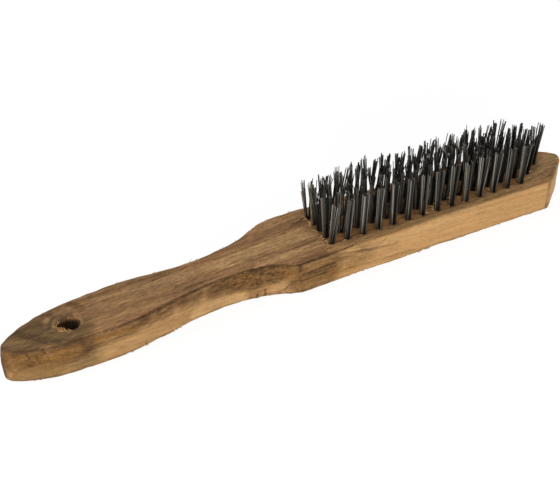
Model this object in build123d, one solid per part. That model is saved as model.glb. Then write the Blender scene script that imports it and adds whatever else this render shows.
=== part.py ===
from build123d import *
import math
import os

os.makedirs("parts", exist_ok=True)

# A hand scratch brush. One block of sawn hardwood is both handle and head. Steel wire tufts stand in
# blind holes in the head, and a flat wire anchor in each hole holds its tuft by the fold.
# Frame: the origin is on the flat back, on the head's centre line, where the handle meets the head.
# +X points to the nose, +Z out of the bristle face, and +Y is the left side as the bristles face up.
# All sizes are in millimetres and angles in degrees.

# Wood block: the head, sawn by eye, so its sides draw in a little and its nose is off the centre line
head_length = 161.0
nose_length = 19.5
nose_base_width = 34.8
nose_offset = -1.0
nose_tip_round = 3.5
nose_corner_round = 5.0
wood_thickness = 16.2

# Wood block: the handle, measured along its own centre line, which starts beside the head's and leans
shoulder_width = 37.6
left_shoulder_round = 32.0
right_shoulder_round = 3.0
neck_at = 37.0
neck_width = 18.4
belly_at = 82.0
belly_width = 27.0
handle_length = 130.0
handle_offset = -0.6
handle_skew = 4.8

# Wood block: rounding of the face edges, and the hole it hangs by, drilled a little off centre
edge_round = 1.0
hang_hole_diameter = 8.5
hang_hole_from_end = 28.5
hang_hole_offset = -0.9

# Field of tufts: the rows run along the head, and each ends where the slanted nose leaves it no room
row_count = 5
row_spacing = 5.5
tuft_pitch = 8.1
first_column_at = 21.0
nose_margin = 16.5
field_offset = -0.9

# Drilled hole for one tuft
tuft_hole_diameter = 2.8
tuft_hole_depth = 10.5
drill_point_angle = 118.0

# Tuft of wires, folded in half
bundle_clearance = 0.12
fold_clearance = 0.1
wire_height = 20.8
tuft_tip_diameter = 3.9

# Flat wire anchor that lies in the fold and bites into the wood on both sides
anchor_thickness = 0.5
anchor_height = 1.7
anchor_bite = 0.75
anchor_angle = 32.0
anchor_above_fold = 1.1
anchor_clearance = 0.05


# Sizes and places that follow from those above
handle_frame = Pos(0, handle_offset) * Rot(Z=handle_skew)
bundle_radius = tuft_hole_diameter / 2 - bundle_clearance
bundle_end_z = wood_thickness - tuft_hole_depth
drill_point_height = tuft_hole_diameter / 2 / math.tan(math.radians(drill_point_angle / 2))
fold_centre_height = bundle_radius / math.sin(math.radians(drill_point_angle / 2))
fold_centre_z = bundle_end_z - drill_point_height + fold_centre_height + fold_clearance
anchor_base_z = fold_centre_z - bundle_radius + anchor_above_fold
anchor_length = tuft_hole_diameter + 2 * anchor_bite


def handle_side():
    """One side of the handle's outline, from the shoulder past neck and belly to the handle's end."""
    shoulder_point = (0, shoulder_width / 2)
    neck_point = (-neck_at, neck_width / 2)
    belly_point = (-belly_at, belly_width / 2)
    along = (-1, 0)
    cap_length = handle_length - belly_at
    shoulder_sweep = TangentArc(neck_point, shoulder_point, tangent=(1, 0))
    swell = Spline(neck_point, belly_point, tangents=(along, along))
    end_cap = EllipticalCenterArc((-belly_at, 0), cap_length, belly_width / 2, start_angle=90, arc_size=90)
    return Curve() + [shoulder_sweep, swell, end_cap]


def block_outline():
    """The whole outline: the handle, set beside the head's centre line and leaning, and the head."""
    left_side = handle_side()
    handle = handle_frame * (left_side + mirror(left_side, Plane.XZ))
    left_shoulder = (handle_frame * Pos(0, shoulder_width / 2)).position
    right_shoulder = (handle_frame * Pos(0, -shoulder_width / 2)).position
    nose_tip = Vector(head_length, nose_offset)
    left_corner = Vector(head_length - nose_length, nose_offset + nose_base_width / 2)
    right_corner = Vector(head_length - nose_length, nose_offset - nose_base_width / 2)
    head = Polyline(left_shoulder, left_corner, nose_tip, right_corner, right_shoulder)
    outline = make_face(handle + head)
    for corner, radius in (
        (left_shoulder, left_shoulder_round),
        (right_shoulder, right_shoulder_round),
        (left_corner, nose_corner_round),
        (right_corner, nose_corner_round),
        (nose_tip, nose_tip_round),
    ):
        outline = fillet(nearest_vertex(outline, corner), radius)
    return outline


def nearest_vertex(shape, point):
    """The corner of a shape that is closest to a point."""
    return min(shape.vertices(), key=lambda vertex: (Vector(*vertex) - point).length)


def hang_hole():
    """Drill for the hole near the handle's end, longer than the wood is thick."""
    place = handle_frame * Pos(hang_hole_from_end - handle_length, hang_hole_offset, wood_thickness / 2)
    return place * Cylinder(hang_hole_diameter / 2, 2 * wood_thickness)


def tuft_hole():
    """Blind drilled hole with its conical point, open past the bristle face."""
    radius = tuft_hole_diameter / 2
    profile = Polyline(
        (0, bundle_end_z - drill_point_height),
        (radius, bundle_end_z),
        (radius, wood_thickness + radius),
        (0, wood_thickness + radius),
        close=True,
    )
    return revolve(Plane.XZ * make_face(profile), Axis.Z)


def tuft():
    """Bundle of folded wires: round at the fold, straight in its hole, and flared to its cut tips."""
    section = Line((0, fold_centre_z - bundle_radius), (0, wood_thickness + wire_height))
    section += Line((0, wood_thickness + wire_height), (tuft_tip_diameter / 2, wood_thickness + wire_height))
    section += Line((tuft_tip_diameter / 2, wood_thickness + wire_height), (bundle_radius, wood_thickness))
    section += Line((bundle_radius, wood_thickness), (bundle_radius, fold_centre_z))
    section += CenterArc((0, fold_centre_z), bundle_radius, 270, 90)
    bundle = revolve(Plane.XZ * make_face(section), Axis.Z)
    window_height = anchor_height + anchor_clearance
    window = Box(
        2 * tuft_hole_diameter,
        anchor_thickness + 2 * anchor_clearance,
        window_height,
        align=(Align.CENTER, Align.CENTER, Align.MIN),
    )
    return bundle - Pos(Z=anchor_base_z) * Rot(Z=anchor_angle) * window


def anchor():
    """Flat wire anchor, lying askew to the grain so that its ends don't split the wood."""
    strip = Box(
        anchor_length,
        anchor_thickness,
        anchor_height,
        align=(Align.CENTER, Align.CENTER, Align.MIN),
    )
    return Pos(Z=anchor_base_z) * Rot(Z=anchor_angle) * strip


def nose_edge_at(y):
    """How far along the head the slanted nose lets a line at this y run."""
    return head_length - nose_length * abs(y - nose_offset) / (nose_base_width / 2)


def tuft_columns():
    """Centres of the tufts, one list for each column across the head, from the handle to the nose."""
    row_lines = [field_offset + (row - (row_count - 1) / 2) * row_spacing for row in range(row_count)]
    row_ends = [nose_edge_at(y) - nose_margin for y in row_lines]
    columns = []
    x = first_column_at
    while x <= max(row_ends):
        columns.append([Pos(x, y) for y, row_end in zip(row_lines, row_ends) if x <= row_end])
        x += tuft_pitch
    return columns


def handle_block(columns):
    """The wood: sawn outline, rounded face edges, hang hole, tuft holes and the anchors' bites."""
    block = extrude(block_outline(), wood_thickness)
    face_edges = block.faces().sort_by(Axis.Z)[0].edges() + block.faces().sort_by(Axis.Z)[-1].edges()
    block = fillet(face_edges, edge_round)
    drilling = tuft_hole()
    bite = anchor()
    cuts = [hang_hole()]
    for places in columns:
        cuts += [place * tool for place in places for tool in (drilling, bite)]
    return block - cuts


def write_node(name, solids):
    """One STEP file, with the node's solids side by side."""
    node = solids[0] if len(solids) == 1 else Compound(children=solids)
    node.label = name
    export_step(node, f"parts/{name}.step")


columns = tuft_columns()
one_tuft = tuft()
one_anchor = anchor()

write_node("handle_block", [handle_block(columns).solid()])
for number, places in enumerate(columns, start=1):
    write_node(f"tuft_column_{number:02d}", [place * one_tuft.solid() for place in places])
    write_node(f"anchor_column_{number:02d}", [place * one_anchor.solid() for place in places])
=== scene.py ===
"""A hand scratch brush: one sawn hardwood block with five rows of folded steel wire tufts."""

import math

import bmesh
import bpy
import numpy as np
from mathutils import Matrix, Vector
from mathutils.geometry import delaunay_2d_cdt


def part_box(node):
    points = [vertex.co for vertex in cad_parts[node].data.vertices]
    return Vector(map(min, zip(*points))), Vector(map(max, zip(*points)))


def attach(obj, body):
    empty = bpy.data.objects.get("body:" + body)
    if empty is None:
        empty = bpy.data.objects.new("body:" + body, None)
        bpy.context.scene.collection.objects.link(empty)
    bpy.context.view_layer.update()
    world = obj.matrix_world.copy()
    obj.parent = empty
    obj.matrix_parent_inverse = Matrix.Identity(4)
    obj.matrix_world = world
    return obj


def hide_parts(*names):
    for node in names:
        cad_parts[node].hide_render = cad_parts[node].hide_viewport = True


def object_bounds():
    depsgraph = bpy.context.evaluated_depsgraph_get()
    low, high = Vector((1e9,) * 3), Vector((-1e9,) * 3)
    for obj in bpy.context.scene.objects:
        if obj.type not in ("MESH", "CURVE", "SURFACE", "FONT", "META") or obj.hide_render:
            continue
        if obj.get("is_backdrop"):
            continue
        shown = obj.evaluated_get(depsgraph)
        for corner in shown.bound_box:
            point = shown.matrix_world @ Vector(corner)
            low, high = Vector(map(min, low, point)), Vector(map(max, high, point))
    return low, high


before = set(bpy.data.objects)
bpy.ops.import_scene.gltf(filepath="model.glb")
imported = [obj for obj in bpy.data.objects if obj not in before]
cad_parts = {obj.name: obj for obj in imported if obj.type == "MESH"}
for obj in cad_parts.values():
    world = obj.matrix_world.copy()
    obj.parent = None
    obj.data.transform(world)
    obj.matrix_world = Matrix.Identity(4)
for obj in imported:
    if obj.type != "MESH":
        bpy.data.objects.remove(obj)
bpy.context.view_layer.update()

MM = 0.001  # everything is shaped in millimetres and written to Blender in metres

# Wood block
wood_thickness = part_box("handle_block")[1].z / MM
outline_step = 0.52  # spacing of the points along the outline
outline_softening = 0.9  # how far the saw and the sandpaper ease the outline's corners
face_step = 0.55  # spacing of the points inside the bristle face
back_step = 1.2  # and inside the flat back, which carries less detail
face_jitter = 0.14  # how far those points stray, in steps, so that no grid shows
hole_margin = 0.4  # how far they stay off a hole
rim_inset = 2.4  # width of the border that carries the worn edge
wall_rows = 23  # rings of points up the wall
round_rows = 5  # and round each of its edges
fibre_direction = np.array(Vector((1.0, 0.105, -0.077)).normalized())  # nearly along the block
torn_depth = 0.75  # how deep the fibres are torn out where a mark is strongest
cut_depth = 0.30  # and how deep a cut goes

# Holes in the wood block
tuft_hole_depth = 10.5
drill_point_height = 0.84
mouth_flare = 0.06  # how much further out a tuft hole's wall stands at its mouth
mouth_raggedness = 0.05
hole_sides = 24
hang_hole_sides = 64
hang_hole_rings = 26

# Tufts: wires folded in half over the anchor, in courses that lie one outside the other
wire_thickness = 0.4
wire_pitch = 0.42
courses = (6, 5, 2)  # wires in each, from the anchor outwards
first_course = 1.05  # how far out the first one lies, in wire pitches
course_spacing = 0.87  # and each next one from there, because it lies in the hollows of the one before
fold_centre_height = 6.45  # the middle of the anchor
tip_height = 37.0
longest_break = 9.0  # the most that a broken wire has lost
anchor_angle = 32.0
tuft_twist = 43.0  # degrees that a tuft turns between its anchor and the mouth of its hole
tube_sides = 5  # of a wire or a sliver: few, because there are thousands of them


# ---------------------------------------------------------------- small tools


def soft_noise(points, grain, seed):
    """Smooth random values from about -1 to 1 at points, with the given grain size along each axis."""
    side = 64
    lattice = np.random.default_rng(seed).uniform(-1, 1, (side, side, side))
    place = points / np.array(grain, float)
    cell = np.floor(place).astype(int)
    part = place - cell
    part = part * part * (3 - 2 * part)
    total = np.zeros(len(points))
    for corner in np.ndindex(2, 2, 2):
        index = (cell + corner) % side
        share = np.prod(np.where(np.array(corner, bool), part, 1 - part), axis=1)
        total += share * lattice[index[:, 0], index[:, 1], index[:, 2]]
    return total * 1.6


def soft_step(low, high, value):
    """0 below low, 1 above high, and a smooth rise between."""
    t = np.clip((value - low) / (high - low), 0, 1)
    return t * t * (3 - 2 * t)


def closeness(points, place, reach):
    """1 at a place, falling smoothly to nothing well beyond its reach."""
    return np.exp(-((np.linalg.norm(points - place, axis=1) / reach) ** 2))


def at_height(points, height):
    """Flat points, set at one height or at a height each."""
    return np.column_stack([points, np.broadcast_to(height, len(points))])


def linear_colour(code):
    """Linear red, green, blue and alpha of an sRGB hex colour."""
    shares = [int(code[i : i + 2], 16) / 255 for i in (1, 3, 5)]
    return [s / 12.92 if s <= 0.04045 else ((s + 0.055) / 1.055) ** 2.4 for s in shares] + [1.0]


def adder(tree):
    """The function that adds nodes to this tree."""

    def add(kind, inputs=(), operation=None, **settings):
        """Adds a node with its settings and links. An input is a value, a hex colour, a socket or a node."""
        node = tree.nodes.new(kind)
        if operation:
            node.operation = operation
        for name, value in settings.items():
            setattr(node, name, value)
        for key, value in inputs.items() if isinstance(inputs, dict) else enumerate(inputs):
            if isinstance(key, int):
                socket = node.inputs[key]
            else:
                socket = next(s for s in node.inputs if s.name == key and s.enabled)
            if isinstance(value, bpy.types.Node):
                value = next(s for s in value.outputs if s.enabled)
            if isinstance(value, bpy.types.NodeSocket):
                tree.links.new(value, socket)
            elif isinstance(value, str) and value[0] == "#":
                socket.default_value = linear_colour(value)
            else:
                socket.default_value = value
        return node

    return add


# the kinds of node used most
MATH, VECTOR, SPREAD, MIX = "ShaderNodeMath", "ShaderNodeVectorMath", "ShaderNodeMapRange", "ShaderNodeMix"
NOISE, VALUE, RANDOM = "ShaderNodeTexNoise", "ShaderNodeAttribute", "FunctionNodeRandomValue"
READ, STORE = "GeometryNodeInputNamedAttribute", "GeometryNodeStoreNamedAttribute"


def new_object(name, data):
    """A new object in the scene, at the origin."""
    piece = bpy.data.objects.new(name, data)
    bpy.context.scene.collection.objects.link(piece)
    return piece


def make_material(name):
    """A material with an empty tree, and the function that adds nodes to it."""
    material = bpy.data.materials.new(name)
    material.use_nodes = True
    material.node_tree.nodes.clear()
    return material, adder(material.node_tree)


# ---------------------------------------------------------------- outline and holes, read from the frame


def level_loops(node_name, height):
    """Closed loops of points, in mm, where a level cut goes through a node: the longest first."""
    cut = bmesh.new()
    cut.from_mesh(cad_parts[node_name].data)
    bmesh.ops.remove_doubles(cut, verts=cut.verts, dist=1e-6)
    everything = cut.verts[:] + cut.edges[:] + cut.faces[:]
    made = bmesh.ops.bisect_plane(cut, geom=everything, plane_co=(0, 0, height * MM), plane_no=(0, 0, 1))
    edges = {e for e in made["geom_cut"] if isinstance(e, bmesh.types.BMEdge)}
    loops = []
    while edges:
        edge = min(edges, key=lambda e: tuple(e.verts[0].co))
        edges.remove(edge)
        start, here = edge.verts
        points = [start.co.xy, here.co.xy]
        while here != start:
            edge = next(e for e in here.link_edges if e in edges)
            edges.remove(edge)
            here = edge.other_vert(here)
            points.append(here.co.xy)
        loops.append(np.array([tuple(p) for p in points[:-1]]) / MM)
    cut.free()
    return sorted(loops, key=loop_length, reverse=True)


def loop_length(loop):
    return np.linalg.norm(np.roll(loop, -1, 0) - loop, axis=1).sum()


def even_loop(loop, count):
    """The loop with count points at even spacing, running anticlockwise."""
    x, y = loop.T
    if (x * np.roll(y, -1) - np.roll(x, -1) * y).sum() < 0:
        loop = loop[::-1]
    closed = np.vstack([loop, loop[:1]])
    reach = np.r_[0, np.cumsum(np.linalg.norm(np.diff(closed, axis=0), axis=1))]
    at = np.linspace(0, reach[-1], count, endpoint=False)
    return np.column_stack([np.interp(at, reach, closed[:, k]) for k in (0, 1)])


def softened_loop(points, spacing, reach):
    """A closed loop of points, averaged over a distance."""
    count = len(points)
    offset = np.minimum(np.arange(count), count - np.arange(count)) * spacing
    weight = np.exp(-0.5 * (offset / reach) ** 2)
    weight /= weight.sum()
    return np.fft.irfft(np.fft.rfft(points, axis=0) * np.fft.rfft(weight)[:, None], count, axis=0)


def outward(loop):
    """Unit vectors that point away from an anticlockwise loop."""
    along = np.roll(loop, -1, 0) - np.roll(loop, 1, 0)
    side = np.column_stack([along[:, 1], -along[:, 0]])
    return side / np.linalg.norm(side, axis=1)[:, None]


def inside_loop(points, loop):
    """Which points lie inside a closed loop."""
    result = np.zeros(len(points), bool)
    ends = np.roll(loop, -1, 0)
    for (ax, ay), (bx, by) in zip(loop, ends):
        if ay == by:
            continue
        crosses = (ay > points[:, 1]) != (by > points[:, 1])
        result ^= crosses & (points[:, 0] < (bx - ax) * (points[:, 1] - ay) / (by - ay) + ax)
    return result


loops = level_loops("handle_block", wood_thickness / 2)
station_count = int(loop_length(loops[0]) / outline_step)
outline = softened_loop(even_loop(loops[0], station_count), outline_step, outline_softening)
outline_out = outward(outline)
# where the saw strayed: place, reach, and how far the wood stands out there
for place, reach, amount in (
    ((19, 18), 9.0, 0.9),
    ((-5.4, 15), 2.2, -0.45),
    ((-15, 9.5), 6.0, -0.35),
    ((-22, -14), 5.0, 0.15),
    ((-129.3, -9.3), 2.4, 0.45),
    ((-131, -15), 5.0, 0.30),
    ((-122.5, -5), 5.0, -0.45),
    ((-112, -19), 9.0, 0.35),
    ((159, -1.5), 3.0, -0.80),
    ((80, -19), 30.0, -0.25),
    ((-88, 5), 7.0, -0.25),
    ((-49, 5), 10.0, -0.30),
):
    outline = outline + outline_out * (amount * closeness(outline, place, reach))[:, None]
around = at_height(outline, 0.0)
wobble = 0.10 * soft_noise(around, (16, 16, 1), 51) + 0.05 * soft_noise(around, (3.5, 3.5, 1), 52)
outline = outline + outline_out * wobble[:, None]
outline_out = outward(outline)
hang_hole = loops[1]
hang_centre = hang_hole.mean(axis=0)
hang_radius = np.linalg.norm(hang_hole - hang_centre, axis=1).mean()
tuft_holes = np.array([loop.mean(axis=0) for loop in loops[2:]])
tuft_hole_radius = np.mean([np.linalg.norm(loop - loop.mean(axis=0), axis=1).max() for loop in loops[2:]])


# ---------------------------------------------------------------- the wood block's marks


def along_grain(points):
    """The points, with their distance along the fibres in place of x."""
    return np.column_stack([points @ fibre_direction, points[:, 1], points[:, 2]])


def surface_relief(points):
    """How far the sawn and weathered surface stands out at each point, in mm."""
    grain = along_grain(points)
    relief = 0.10 * soft_noise(grain, (34, 6, 6), 11)
    relief += 0.06 * soft_noise(grain, (14, 2.2, 2.2), 12)
    relief += 0.04 * soft_noise(grain, (5, 1.3, 1.3), 13)
    return relief


def torn_chips(points):
    """How deep the fibres are torn out at each point, from 0 to about 1."""
    coarse = soft_noise(points, (2.6, 1.7, 1.7), 31)
    fine = soft_noise(points, (1.3, 0.9, 0.9), 32)
    return np.clip(0.35 + 0.45 * coarse + 0.45 * fine, 0, 1.2)


def stroke(places, path, width):
    """How strongly a brush of this half width, drawn along a path, marks each place. Its edge is soft."""
    nearest = np.full(len(places), 1e9)
    path = np.array(path, float)
    for start, end in zip(path, path[1:]):
        along = end - start
        share = np.clip((places - start) @ along / (along @ along), 0, 1)
        nearest = np.minimum(nearest, np.linalg.norm(places - start - share[:, None] * along, axis=1))
    return 1 - soft_step(0.45 * width, 1.55 * width, nearest)


# Marks, by kind. Each is its half width in mm, its strength, and the places it runs through.
# On the bristle face the places are (x, y):
face_marks = {
    "dark": [
        (1.7, 0.4, (-123, -5.5), (-119, -8), (-115, -13), (-109, -18)),
        (1.6, 0.42, (-121, -5), (-113, -2.5), (-106, 0.5)), (1.2, 0.35, (-112, -4), (-109, -8)),
        (1.2, 0.4, (-109, 0.5), (-105, -3.5)), (0.8, 0.35, (-121, -8.4), (-117.6, -12), (-113, -17)),
        (1.4, 0.16, (-108, -19), (-100, -20.5)), (1.2, 0.3, (-108.5, -7), (-106, -4.5), (-103, -3.6)),
        (0.42, 0.72, (-60.5, 0.5), (-57, 0.9), (-53.5, 1.3)), (0.36, 0.3, (-53, 1.6), (-46, 2.2), (-38, 3)),
        (0.35, 0.45, (-72, -0.8), (-60, 0)), (0.4, 0.35, (-90, -3.4), (-84, -2.2)),
        (0.36, 0.45, (-79, -9), (-75, -8.6)), (0.36, 0.32, (-72, -10.4), (-60, -9.8), (-50, -8.4)),
        (0.4, 0.55, (-54, -8.4), (-49, -7.8), (-43, -7.4)),
        (0.4, 0.45, (-56, -12), (-46, -11.4), (-36, -10.6)),
        (0.42, 0.62, (-50, -10.8), (-45, -10.4), (-40, -10)),
        (0.42, 0.66, (-66, -18.6), (-55, -16.4), (-49.5, -14.4)),
        (0.4, 0.45, (-30, 6), (-18, 8.4), (-10, 10.6)),
        (0.4, 0.4, (-32, 1.4), (-18, 2.4), (-6, 3.4), (6, 4.6)),
        (0.36, 0.4, (-34, -7.8), (-22, -7.2), (-8, -6.4), (12, -4.8)),
        (0.36, 0.5, (-14, -9.4), (0, -8.2), (16, -7.2)), (0.6, 0.35, (-19, -5.8), (-16.5, -6.2)),
        (0.42, 0.9, (12, 9), (16, 9.4), (20.5, 11.6)),
        (0.42, 0.72, (-49.5, -14.3), (-38, -12.7), (-27.6, -12.3), (-19.6, -12.2)),
        (0.42, 0.8, (-19.6, -12.2), (-12, -13.5), (-5.5, -16.4), (-0.6, -18.8)),
        (1.1, 0.6, (-21, -13.6), (-16, -14.4)),
        (0.38, 0.85, (-2, -19), (8, -18.9), (19, -18.6), (28, -18.3)),
        # the second stroke on this line and both on the next are painted shade between the tufts' rows and
        # along the far edge behind them, with some dirt too
        (0.4, 0.16, (28, -18.2), (60, -17.9)), (1.6, 0.34, (24, -6), (140, -6)),
        (8, 0.52, (24, 3), (140, 3)), (2.6, 0.3, (36, 15.5), (136, 15.5)),
        (0.36, 0.14, (62, -17.9), (142, -17.9)), (0.4, 0.3, (24, -14), (60, -14.4)),
        (0.45, 0.45, (62, -13.9), (104, -14.2)), (0.45, 0.4, (128, -12.6), (138, -11), (150, -8.6)),
        (0.45, 0.3, (142, -4.6), (155, -3.4)), (0.5, 0.45, (136, -14.4), (143, -14)),
    ],
    "brown": [
        (1.8, 0.6, (-96.5, 1.5), (-93.5, -2.5)), (1.4, 0.16, (-88, 3.4), (-64, 3.6), (-44, 2.6)),
        (0.6, 0.45, (-79, -19.8), (-70, -19), (-62, -17.4)),
        (2, 0.22, (-36, 3.4), (-16, 5), (4, 8.4), (18, 9.4)), (1.2, 0.45, (19, -10), (19.6, 2)),
        (2.8, 0.36, (14, 8), (20, 13)), (3, 0.22, (7, 6.6), (15, 8)), (1.3, 0.5, (-2, -17.6), (19, -17.2)),
        (2.6, 0.22, (108, -15.4), (130, -14.8)), (0.8, 0.5, (157, 0), (150, 5.4)),
    ],
    "golden": [
        (1.3, 0.3, (-46, -15.6), (-34, -13.4)), (2.8, 0.44, (18, -15.2), (60, -15), (142, -14.8)),
        (2, 0.35, (26, -9.4), (136, -9.4)),
    ],
    "olive": [
        (9, 0.82, (-130, -12), (-112, -10), (-103, -15)), (4, 0.42, (-104, -2), (-96, -14)),
        (8, 0.2, (-95, -6), (-50, -5)), (2.6, 0.22, (-106, 2.6), (-66, 2.8)),
        (1.1, 0.4, (-70, 3.8), (-60, 3.2), (-51, 3.4)),
    ],
    "pale": [
        (1.3, 0.3, (-107.6, -2.6), (-110, -6.5)), (1.8, 0.16, (-127, -10), (-121, -13)),
        (0.8, 0.55, (-96.4, -12), (-95.6, -8), (-96.4, -5)),
        (0.9, 0.5, (-107.2, -9), (-106.4, -6.4), (-104.6, -4.6)), (0.4, 0.5, (-92, -4.6), (-88, -4.2)),
        (4.4, 0.3, (-84, -4.4), (-46, -3.4)), (1.7, 0.42, (-50, -15.6), (-36, -13.8)),
        (2.4, 0.14, (-90, -14), (-62, -14.5)), (2.2, 0.4, (-30, -5.4), (-10, -4.6), (16, -3.2)),
        (3.4, 0.55, (-36, -3), (-20, -1), (0, 0.2), (18, 1.6)), (0.5, 0.6, (-16, 1.2), (-4, 1.8), (8, 2.8)),
        (2.2, 0.45, (-14, -11.2), (6, -10.4), (16, -10)), (2, 0.25, (-10, 14), (8, 15)),
        (0.45, 0.6, (11, 9.9), (16, 10.4), (19.5, 12.4)), (3, 0.25, (146, -4), (154, 0)),
        (2.2, 0.55, (18, -15.4), (140, -15.2)), (4, 0.5, (132, -11), (142, -8), (154, -1)),
    ],
    "torn": [
        (1.5, 0.7, (-26, -12.8), (-12, -14.2), (-4, -17.4)),
    ],
}
# and on the near wall they are (x, z):
wall_marks = {
    "dark": [
        # the first stroke is painted shade down the rounded corner at the handle's end
        (1.8, 0.8, (-131.6, 16), (-131.8, 0.5)), (0.6, 0.5, (-130, 15.9), (-118, 15.9), (-100, 15.9)),
        (0.45, 0.75, (-121.6, 14.6), (-120.8, 12)), (0.5, 0.7, (-121.8, 9.4), (-120.4, 8.4)),
        (0.4, 0.5, (-122.4, 11.6), (-119.4, 9.8)), (0.35, 0.6, (-118.4, 13.4), (-117.8, 11)),
        (0.45, 0.75, (-115.6, 15.6), (-114.8, 13.8)), (0.35, 0.5, (-114, 12.4), (-113.6, 10.6)),
        (0.35, 0.45, (-117.4, 9.4), (-115.4, 8.2)), (0.4, 0.5, (-126.6, 14.4), (-126.2, 13.4)),
        (0.35, 0.3, (-109, 8.8), (-105.6, 13)), (0.35, 0.3, (-106.8, 9), (-104.8, 12.6)),
        (0.9, 0.24, (-99.6, 14), (-98.6, 10)), (0.42, 0.6, (-90, 15.8), (-60, 15.7), (-36, 15.8)),
        (0.4, 0.4, (-82, 13.6), (-72, 12.6), (-66, 13)), (0.7, 0.3, (-34, 15.6), (-18, 15.4), (-6, 15.7)),
        (0.9, 0.42, (-20, 15), (-15, 14.4), (-10.5, 15.2)), (0.9, 0.38, (-15.4, 12.6), (-17.2, 8.6)),
        (0.5, 0.35, (-12, 12.8), (-10, 10.8)), (0.4, 0.45, (-33, 12.6), (-28, 11.4), (-23, 10.6)),
        (0.4, 0.45, (-31, 9.8), (-24, 7.2), (-18, 6)), (0.45, 0.6, (-17.6, 9.4), (-17.2, 6.8)),
        (0.45, 0.7, (-17.6, 2.8), (-17.6, 0.6)), (0.5, 0.75, (-13.8, 4.2), (-13.8, 0.6)),
        (0.5, 0.6, (-5.6, 2.6), (-3, 5.6), (0.4, 7.4)), (0.6, 0.8, (1.1, 15.8), (1.2, 12)),
        (0.45, 0.34, (1.2, 9.6), (1.3, 4.4)), (0.55, 0.85, (2.4, 10.2), (12, 10.6), (18.4, 11)),
        (0.55, 0.75, (1.6, 6.6), (14, 7)), (0.75, 0.55, (5, 8.6), (19, 9)),
        (0.45, 0.36, (2.6, 13.2), (17, 13.8)), (0.5, 0.35, (2, 1.4), (18, 1.6)),
        (0.4, 0.3, (3, 4.6), (12, 4.9)), (0.36, 0.7, (2, 16), (20, 16)),
        (0.34, 0.58, (24, 14.2), (31, 13), (38, 12), (47, 10.9)),
        (0.34, 0.46, (29, 12.6), (36, 11.4), (44, 10.7), (52, 10.4)), (0.36, 0.5, (20, 12.4), (28, 11.8)),
        (0.36, 0.55, (41.6, 13.2), (45, 14.8)), (0.8, 0.4, (139.8, 3.4), (140, 1.6)),
        (0.5, 0.6, (-72.6, 2.4), (-72.4, 0.4)), (0.5, 0.5, (-59.8, 1.6), (-59.6, 0.4)),
    ],
    "brown": [
        (6, 0.95, (-131, 12), (-101, 12.4)), (2.2, 0.62, (-98.6, 14.6), (-98.2, 11)),
        (2.6, 0.74, (-95, 14.8), (-60, 14.8), (-46, 14)), (2.4, 0.6, (-95, 11.6), (-74, 12.2), (-60, 12)),
        (4.4, 0.46, (-52, 13), (-36, 12.6)), (5.6, 0.8, (-36, 12.4), (-8, 12)),
        (2.2, 0.45, (-30, 9), (-16, 8)), (5, 0.52, (-8, 12), (0, 11)), (3.4, 0.32, (-20, 3), (0, 3)),
        (3.4, 0.24, (-40, 4), (-20, 4)), (7, 0.66, (2, 12), (16, 12)), (5, 0.62, (2, 4), (15, 4)),
        (5.6, 0.4, (17, 9), (33, 11)), (5, 0.12, (30, 10), (48, 10)),
        (0.6, 0.4, (24, 5.2), (36, 4.4), (50, 3.6), (62, 2.9)), (0.4, 0.35, (96, 11.4), (101, 10.6)),
        (1.1, 0.55, (139.6, 15.4), (140, 1)), (0.8, 0.36, (-129, 0.6), (-60, 0.6), (0, 0.6)),
        (0.6, 0.3, (0, 0.6), (64, 0.8), (140, 0.8)),
    ],
    "golden": [
        (6, 0.32, (-129, 8), (-112, 8)), (2, 0.1, (-124, 12), (-114, 11)),
        (2.8, 0.42, (-110.5, 11.4), (-102.5, 11)), (1.6, 0.5, (-93, 13), (-80, 13.2)),
        (0.8, 0.4, (-80, 12.4), (-66, 12.8)), (1.6, 0.55, (-31, 12.2), (-25, 11)),
        (2.4, 0.4, (-7, 13), (-3, 10)), (1, 0.5, (-27, 9.4), (-21, 10.6)), (6, 0.2, (3, 9), (16, 8)),
        (3, 0.25, (16, 5), (28, 5)), (0.5, 0.25, (104, 10.2), (112, 9.6)),
    ],
    "olive": [
        (7, 0.62, (-131, 5), (-100, 6)), (3, 0.35, (-130, 1.5), (-112, 2)), (6, 0.3, (-97, 5), (-50, 6)),
    ],
    "pale": [
        (2.4, 0.62, (-48, 3.4), (-36, 4), (-24, 2.6)), (2, 0.35, (-9.4, 5), (-6, 6.6)),
        # the second stroke on this line and the first on the next are painted highlights along the top of the
        # near wall
        (0.45, 0.55, (25, 15), (33, 13.6), (46, 12)), (1.6, 0.3, (44, 13.8), (62, 13.6)),
        # the last stroke is a painted highlight: the sheen that the nose's end shows at a glancing angle
        (2.6, 0.3, (60, 14), (94, 14)), (8, 0.9, (148, 8), (158, 8)),
    ],
    "torn": [
        (3.4, 0.55, (-34, 12.6), (-24, 12)), (4.6, 1, (-24, 12.4), (-9, 11.4)),
        (1.8, 0.7, (-18, 7.6), (-12, 8)), (1.4, 0.7, (-10, 14.4), (-2, 14.8)),
    ],
    "cut": [
        (0.6, 0.7, (1.1, 15.8), (1.2, 8)),
    ],
}
mark_kinds = ("dark", "brown", "golden", "olive", "pale", "torn", "cut")
stains = ("olive", "brown", "golden")  # the kinds that the far wall has too


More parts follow.
